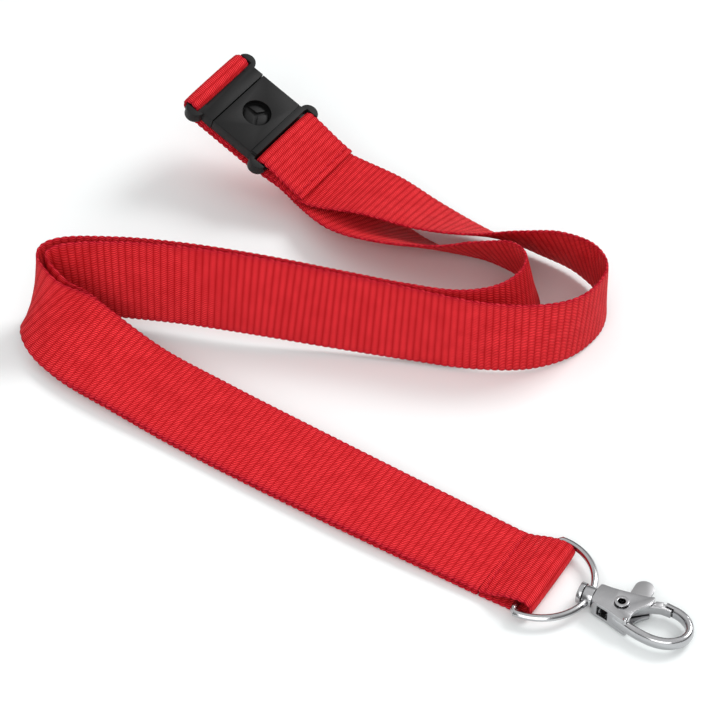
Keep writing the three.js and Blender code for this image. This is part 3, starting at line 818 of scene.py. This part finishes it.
def stitch_row(name, seat, x, z, side):
    """One stitch is a short rounded bar with its ends drawn down; the row is its copies."""
    deselect()
    made = []
    for i in range(STITCHES):
        middle = Vector((
            x + STITCH_STAGGER * (-1) ** i, (i - (STITCHES - 1) / 2) * STITCH_PITCH,
            z + side * STITCH_RISE,
        ))
        bpy.ops.mesh.primitive_uv_sphere_add(segments=10, ring_count=8, radius=1)
        stitch = newest(name)
        for vertex in stitch.data.vertices:
            vertex.co *= Vector(STITCH_HALF)
            vertex.co.z -= (vertex.co.y / STITCH_PITCH) ** 2 * STITCH_DROP
            vertex.co += middle
        made.append(stitch)
    deselect()
    for stitch in made:
        stitch.select_set(True)
    bpy.context.view_layer.objects.active = made[0]
    bpy.ops.object.join()
    obj = newest(name)
    set_place(obj, seat)
    make_active(obj)
    bpy.ops.object.shade_smooth()
    return obj


class LANYARD_OT_buckle(bpy.types.Operator):
    """The two halves of the breakaway buckle"""

    bl_idname = "lanyard.buckle"
    bl_label = "Buckle"

    def execute(self, context):
        settings = fitting_settings()
        material = plastic_material(settings)
        for name, node, body in (
            ("socket_half", "buckle_socket", "strap"), ("plug_half", "buckle_plug", "plug"),
        ):
            obj = eased_copy(node, name, settings.buckle_edge)
            finish_piece(obj, body, material, [node])
        return {"FINISHED"}


class LANYARD_OT_hook(bpy.types.Operator):
    """The D-ring, the hook's frame, its rivets, its trigger and its spring"""

    bl_idname = "lanyard.hook"
    bl_label = "Hook and ring"

    def execute(self, context):
        settings = fitting_settings()
        nickel = metal_material("nickel plate", rgb(196, 196, 197), rgb(172, 172, 175), 0.12, 900)
        satin = metal_material("satin plate", rgb(188, 188, 189), rgb(168, 168, 170), 0.28, 2200)
        spring = metal_material("spring steel", rgb(150, 150, 148), rgb(120, 120, 118), 0.3, 1500)
        pieces = (  # the last value is the radius of the eased edges, in mm
            ("ring_wire", "d_ring", "ring", "nickel_plate", nickel, 0.2),
            ("hook_shell", "hook_frame", "hook", "nickel_plate", nickel, settings.hook_edge),
            ("swivel_post", "swivel_rivet", "hook", "nickel_plate", nickel, 0.25),
            ("pivot_eyelet", "pivot_rivet", "hook", "nickel_plate", nickel, 0.12),
            ("trigger_lever", "trigger", "trigger", "satin_steel", satin, 0.2),
        )
        for name, node, body, slot, material, edge in pieces:
            obj = eased_copy(node, name, edge)
            finish_piece(obj, body, material, [node])
        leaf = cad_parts["trigger_spring"].data
        leaf.materials.clear()
        leaf.materials.append(spring)
        return {"FINISHED"}


SKY_STOPS = (
    (0.0, (0.4, 0.4, 0.4)), (0.15, (0.12, 0.12, 0.12)), (0.45, (0.5, 0.5, 0.5)), (0.8, (1, 1, 1)),
)
SKY_STRENGTH = 0.85
LAMPS = (  # name, place in metres, size in metres, power in watts
    ("key", (0.75, 0.5, 0.9), 0.5, 8),
    ("fill", (-0.15, -0.95, 0.55), 0.9, 6.5),
)
FLOOR_SIZE = 6
FLOOR_COLOUR = (0.89, 0.92, 0.92, 1)
CAMERA_ELEVATION = math.radians(43)
CAMERA_DISTANCE = 0.75
CAMERA_LENS, CAMERA_SENSOR = 131.25, 36


def studio_world():
    """A soft sky, bright overhead and dim at the horizon."""
    world = bpy.data.worlds.new("studio")
    world.use_nodes = True
    tree = world.node_tree
    direction = tree.nodes.new("ShaderNodeTexCoord")
    split = tree.nodes.new("ShaderNodeSeparateXYZ")
    ramp = tree.nodes.new("ShaderNodeValToRGB")
    Shader.set_stops(ramp.color_ramp, SKY_STOPS)
    tree.links.new(direction.outputs["Generated"], split.inputs[0])
    tree.links.new(split.outputs["Z"], ramp.inputs["Fac"])
    background = tree.nodes["Background"]
    tree.links.new(ramp.outputs["Color"], background.inputs["Color"])
    background.inputs["Strength"].default_value = SKY_STRENGTH
    return world


class LANYARD_OT_stage(bpy.types.Operator):
    """The pale floor, the soft lights and the camera"""

    bl_idname = "lanyard.stage"
    bl_label = "Stage"

    def execute(self, context):
        deselect()
        bpy.ops.mesh.primitive_plane_add(size=FLOOR_SIZE, location=(0, 0, 0))
        floor = newest("floor")
        s = Shader("pale floor")
        s.set(Base_Color=FLOOR_COLOUR, Roughness=0.9, Specular_IOR_Level=0.1)
        floor.data.materials.append(s.material)
        context.scene.world = studio_world()
        for name, place, size, power in LAMPS:
            bpy.ops.object.light_add(type="AREA", location=place)
            lamp = bpy.context.object
            lamp.name = name
            lamp.data.size = size
            lamp.data.energy = power
            lamp.rotation_euler = (-Vector(place)).to_track_quat("-Z", "Y").to_euler()
        back = Vector((0, -math.cos(CAMERA_ELEVATION), math.sin(CAMERA_ELEVATION)))
        bpy.ops.object.camera_add()
        camera = bpy.context.object
        camera.location = ORIGIN_SHIFT * MM + back * CAMERA_DISTANCE
        camera.rotation_euler = (math.pi / 2 - CAMERA_ELEVATION, 0, 0)
        camera.data.lens = CAMERA_LENS
        camera.data.sensor_width = CAMERA_SENSOR
        camera.data.clip_start = 0.01
        context.scene.camera = camera
        context.scene.view_settings.view_transform = "Standard"
        return {"FINISHED"}


class LANYARD_PT_panel(bpy.types.Panel):
    bl_label = "Lanyard"
    bl_idname = "LANYARD_PT_panel"
    bl_space_type = "VIEW_3D"
    bl_region_type = "UI"
    bl_category = "Lanyard"

    def draw(self, context):
        layout = self.layout
        for settings in (context.scene.lanyard_webbing, context.scene.lanyard_fittings):
            for key in settings.__annotations__:
                layout.prop(settings, key)
        for operator in OPERATORS:
            layout.operator(operator.bl_idname)


OPERATORS = (
    LANYARD_OT_stage,
    LANYARD_OT_socket_strap,
    LANYARD_OT_plug_strap,
    LANYARD_OT_folds,
    LANYARD_OT_stitches,
    LANYARD_OT_buckle,
    LANYARD_OT_hook,
)
CLASSES = (LanyardWebbing, LanyardFittings, *OPERATORS, LANYARD_PT_panel)


def register():
    for cls in CLASSES:
        bpy.utils.register_class(cls)
    bpy.types.Scene.lanyard_webbing = bpy.props.PointerProperty(type=LanyardWebbing)
    bpy.types.Scene.lanyard_fittings = bpy.props.PointerProperty(type=LanyardFittings)


def unregister():
    del bpy.types.Scene.lanyard_fittings
    del bpy.types.Scene.lanyard_webbing
    for cls in reversed(CLASSES):
        bpy.utils.unregister_class(cls)


def main():
    register()
    for operator in OPERATORS:
        group, action = operator.bl_idname.split(".")
        getattr(getattr(bpy.ops, group), action)()


if __name__ == "__main__":
    main()
